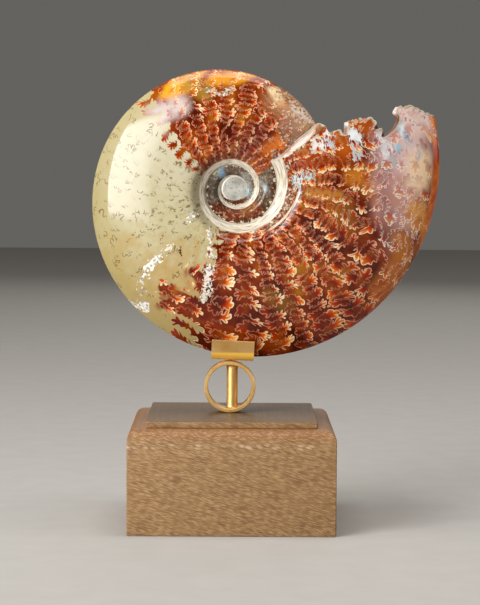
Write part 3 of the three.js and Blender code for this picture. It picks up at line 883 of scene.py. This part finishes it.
# The edge of the nearest wall, torn up a little more under the painted reflection haze, and which chamber
# it is
haze = add(tree, "Attribute haze").outputs["Fac"]
uneven = add(tree, "MapRange", add(tree, "TexNoise", cells, 0.8, 0), 0.3, 0.7, -0.05, 0.05)
jags = add(tree, "Math SUBTRACT", add(tree, "TexNoise", cells, 5, 1), 0.5)
jag_size = add(tree, "MapRange", haze, 0, 1, 0.06, 0.4)
jag_size = add(tree, "Math MULTIPLY", jag_size, add(tree, "MapRange", angle, *jags_grow))
uneven = add(tree, "Math MULTIPLY_ADD", jags, jag_size, uneven)
edges = []
chamber = number
for offset, onwards in ((behind, 0), (ahead, 1)):
    shifted = add(tree, "Math MULTIPLY_ADD", add(tree, "Math ADD", number, onwards), apart, across)
    wall = add(tree, "Group", node_tree=wall_edge)
    tree.links.new(offset.outputs[0], wall.inputs["Along"])
    tree.links.new(shifted.outputs[0], wall.inputs["Across"])
    edges.append(add(tree, "Math ADD", wall, uneven))
    chamber = add(tree, "Math ADD", chamber, add(tree, "Math GREATER_THAN", edges[-1], 0))
reaches = [add(tree, "Math ABSOLUTE", edge) for edge in edges]
is_ahead = add(tree, "Math LESS_THAN", reaches[1], reaches[0])
edge = add(tree, "Mix", is_ahead, *edges)
from_wall = add(tree, "Mix", is_ahead, behind, ahead)
away = add(tree, "Math MINIMUM", *reaches)
away_mm = add(tree, "Math MULTIPLY", away, cell_size)

# The ground colour of the chambers, from dark red to amber, with its own tone in each
tone = add(tree, "TexNoise", cells, 0.45, 3, 0.6)
chamber_tone = add(tree, "TexWhiteNoise", chamber, noise_dimensions="1D")
toned = add(tree, "Math MULTIPLY_ADD", chamber_tone, 0.12, tone)
height = add(tree, "Math MULTIPLY_ADD", height, 1 / (shell_height * mm), -axis_height / shell_height)
toned = add(tree, "Math MULTIPLY_ADD", height, 0.15, toned)
ground = add(tree, "ValToRGB", toned, stops=[
    (0.38, "#4a0e00"), (0.47, "#641800"), (0.55, "#7a2800"), (0.65, "#8e3e00"), (0.78, "#a0620c")])
tint = add(tree, "Attribute tint")
colour = add(tree, "Mix RGBA", tint.outputs["Alpha"], ground, tint)

# The leaves glow from dark red in the middle through orange to cream at their fingertips. Low
# down on the coil the saddles between the lobes glow instead
low_down = window(angle, *saddles_glow)
lobe_glow = add(tree, "Math MULTIPLY_ADD", low_down, -0.7, add(tree, "MapRange", angle, *lobes_glow))
saddle_glow = add(tree, "Math MULTIPLY_ADD", low_down, 0.65, 0.35)
near_edge = add(tree, "MapRange", away, 0, 0.1, 0.24, 0)
near_edge = add(tree, "Math MULTIPLY_ADD", add(tree, "Math SUBTRACT", tone, 0.5), 0.9, near_edge)
hidden = add(tree, "Math MULTIPLY_ADD", tint.outputs["Alpha"], -0.6, 1)
leafy = 0
tips = []
for side, far_end, glowing in (("GREATER_THAN", -0.85, lobe_glow), ("LESS_THAN", 0.85, saddle_glow)):
    inside = add(tree, "Math " + side, edge, 0)
    tip = add(tree, "Math MULTIPLY", add(tree, "MapRange", from_wall, 0, far_end), glowing)
    glow = add(tree, "ValToRGB", add(tree, "Math MULTIPLY_ADD", tip, 0.8, near_edge), stops=[
        (0.05, "#6a1000"), (0.25, "#962200"), (0.42, "#ba3e02"), (0.6, "#d8660e"), (0.8, "#f09a42"),
        (0.96, "#fad294")])
    amount = add(tree, "Math MULTIPLY", add(tree, "Math MULTIPLY", tip, 3, use_clamp=True), inside)
    leafy = add(tree, "Math MAXIMUM", amount, leafy)
    amount = add(tree, "Math MULTIPLY", amount, hidden)
    colour = add(tree, "Mix RGBA", amount, colour, glow)
    tips.append(tip)
tip = add(tree, "Math MAXIMUM", *tips)
faint = add(tree, "MapRange", add(tree, "TexNoise", cells, 1.2, 0), 0.35, 0.6, 0.5, 0.95)
small = add(tree, "MapRange", cell_size, 1.5, 3.5, 0.35, 1)
faint = add(tree, "Math MULTIPLY", faint, small)
faint = add(tree, "Math MULTIPLY_ADD", haze, 0.6, faint, use_clamp=True)
line = add(tree, "MapRange", away_mm, 1.35 * line_half_width, 0.7 * line_half_width)
for part in (faint, add(tree, "MapRange", tip, 0.1, 0.6, 0.45, 1)):
    line = add(tree, "Math MULTIPLY", line, part)
line_colour = add(tree, "Mix RGBA", tip, "#c88a62", "#fff0c4")
# Painted reflection: under the haze the wall lines turn a pale lilac white, as if veiled by the glare
line_colour = add(tree, "Mix RGBA", haze, line_colour, "#f0e4dc")
colour = add(tree, "Mix RGBA", line, colour, line_colour)

# The ventre of the last chamber is a band of orange and red
band = add(tree, "MapRange", to_ventre, -0.06, -0.045)
band = add(tree, "Math MULTIPLY", band, add(tree, "MapRange", angle, *last_chamber))
band_colour = add(tree, "Mix RGBA", add(tree, "MapRange", tone, 0.4, 0.6), "#c24812", "#f48e38")
colour = add(tree, "Mix RGBA", band, colour, band_colour)

# Chambers filled with khaki sediment, where the walls are only thin broken dark lines
khaki = window(chamber, 0.4, 0.6, khaki_chambers + 0.4, khaki_chambers + 0.6)
red_part = add(tree, "Attribute red_leaf").outputs["Fac"]
red_leaf = add(tree, "Math MULTIPLY", add(tree, "Math MULTIPLY", red_part, 3), leafy)
red_leaf = add(tree, "Math MAXIMUM", red_leaf, add(tree, "MapRange", red_part, 0.8, 0.95))
khaki = add(tree, "Math SUBTRACT", khaki, red_leaf, use_clamp=True)
sediment_and_shade = add(tree, "TexNoise", cells, 1, 5)
# Painted shade: the khaki turns darker and yellower towards the bottom of the stone, for the light falling
# off downwards; the noise gives the sediment's own tone
sediment_and_shade = add(tree, "Math MULTIPLY_ADD", sediment_and_shade, 0.5, height)
sediment_and_shade = add(tree, "Math ADD", sediment_and_shade, 0.3)
khaki_colour = add(tree, "ValToRGB", sediment_and_shade, stops=[
    (0.14, "#ac8e58"), (0.24, "#b69c62"), (0.32, "#b8a472"), (0.42, "#bcb288"), (0.69, "#c4bc9c")])
# Painted shade: the khaki darkens to olive towards the ventre, where the flank curves away from the light
rim_shade = add(tree, "MapRange", to_ventre, -0.35, -0.05, 0, 0.7)
khaki_colour = add(tree, "Mix RGBA", rim_shade, khaki_colour, "#a09058")
khaki_line = add(tree, "MapRange", away_mm, 0.7 * line_half_width, 1.4 * line_half_width, 0.8, 0)
for part in (add(tree, "MapRange", add(tree, "TexNoise", cells, 1.5, 0), 0.48, 0.56),
             add(tree, "MapRange", tip, 0.15, 0.35, 0.15, 1)):
    khaki_line = add(tree, "Math MULTIPLY", khaki_line, part)
khaki_colour = add(tree, "Mix RGBA", khaki_line, khaki_colour, "#6a4c1c")
colour = add(tree, "Mix RGBA", khaki, colour, khaki_colour)

# In the umbilicus the walls don't show: the older whorls are covered with fine grains there
older = add(tree, "MapRange", angle, *older_whorls)
in_umbilicus = add(tree, "Math MULTIPLY", older, add(tree, "MapRange", share, 0.47, 0.45))
speck = add(tree, "TexNoise", place, 950, 3, 0.7)
grey = add(tree, "Attribute infill")
for first, full, most, tone in ((0.54, 0.66, 0.5, "#d8b890"), (0.48, 0.36, 0.6, "#2c140c")):
    amount = add(tree, "MapRange", speck, first, full, 0, most)
    grey = add(tree, "Mix RGBA", amount, grey, tone)
colour = add(tree, "Mix RGBA", in_umbilicus, colour, grey)


def ragged_patches(name, noises, first, full, most=1):
    """Patches that the shell keeps, and their cover, made ragged by noises with their weights."""
    patches = add(tree, "Attribute " + name)
    cover = patches.outputs["Alpha"]
    for noise, weight in noises:
        cover = add(tree, "Math MULTIPLY_ADD", noise, weight, cover)
    cover = add(tree, "MapRange", cover, first, full, 0, most)
    present = add(tree, "Math GREATER_THAN", patches.outputs["Alpha"], 0.1)
    return patches, add(tree, "Math MULTIPLY", cover, present)


# Crystal-filled patches: grains of calcite about a millimetre across
ragged = add(tree, "TexNoise", place, 900, 2)
clouds = add(tree, "TexNoise", place, 250, 2)
grains = add(tree, "TexVoronoi", {"Vector": place, "Scale": 1 / (grain_size * mm)})
grain_tone, scattered, _ = add(tree, "SeparateColor", grains.outputs["Color"]).outputs
crystal, cover = ragged_patches("crystal", [(clouds, 1.6), (scattered, -1.05), (ragged, 0.4)], 1.2, 1.3)
for farthest, tone in ((1, "#f2e6d4"), (0, "#3a1c10")):
    amount = add(tree, "MapRange", grain_tone, 0.5, farthest, 0, 0.6)
    crystal = add(tree, "Mix RGBA", amount, crystal, tone)
colour = add(tree, "Mix RGBA", cover, colour, crystal)

# Nacre that is left on the chamber walls: white to pale blue, in feathery shreds along them
feathers = add(tree, "TexNoise", add(tree, "VectorMath MULTIPLY", bent_cells, (2, 6, 1)), 1, 2)
nacre, cover = ragged_patches("nacre", [(leafy, -0.35), (feathers, 2.2), (ragged, 0.5)], 1.93, 2.08, 0.95)
sheen = add(tree, "MapRange", clouds, 0.4, 0.6, 0.65, 1.1)
nacre = add(tree, "VectorMath SCALE", nacre, sheen)
colour = add(tree, "Mix RGBA", cover, colour, nacre)

# The seam: the shell's own wall where it leans on the whorl before, pale, in fine layers, with
# a wavy edge over that whorl, and a pale line on the shoulder where the last whorl starts
layers = add(tree, "VectorMath MULTIPLY", grown, (3, 150, 0))
layers = add(tree, "ValToRGB", add(tree, "TexNoise", layers, 1, 3), stops=[
    (0.27, "#6e5640"), (0.36, "#a69076"), (0.46, "#c8bca2"), (0.6, "#e6dec6"), (0.74, "#a4acb0")])
wave = add(tree, "TexNoise", add(tree, "CombineXYZ", angle), 7, 2)
wave = add(tree, "MapRange", wave, 0.38, 0.62, 0.45, 0.398)
over_edge = add(tree, "Math MULTIPLY", add(tree, "Math GREATER_THAN", share, wave), in_umbilicus)
shoulder = add(tree, "Math SUBTRACT", share, add(tree, "MapRange", angle, *shoulder_rises))
shoulder = add(tree, "MapRange", add(tree, "Math ABSOLUTE", shoulder), 0.004, 0.008, 0.9, 0)
shoulder = add(tree, "Math MULTIPLY", shoulder, window(angle, *shoulder_shows))
seam = add(tree, "MapRange", share, 0.256, 0.252)
for part in (over_edge, shoulder):
    seam = add(tree, "Math MAXIMUM", seam, part)
colour = add(tree, "Mix RGBA", seam, colour, layers)
colour = add(tree, "VectorMath SCALE", colour, 0.86)
add(tree, "OutputMaterial", add(tree, "BsdfPrincipled", {
    "Base Color": colour, "Roughness": 0.4, "Specular IOR Level": 0,
    "Coat Weight": 1, "Coat Roughness": 0.06, "Coat IOR": 1.36}))
finish_piece(shell, "ammonite")

low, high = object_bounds()
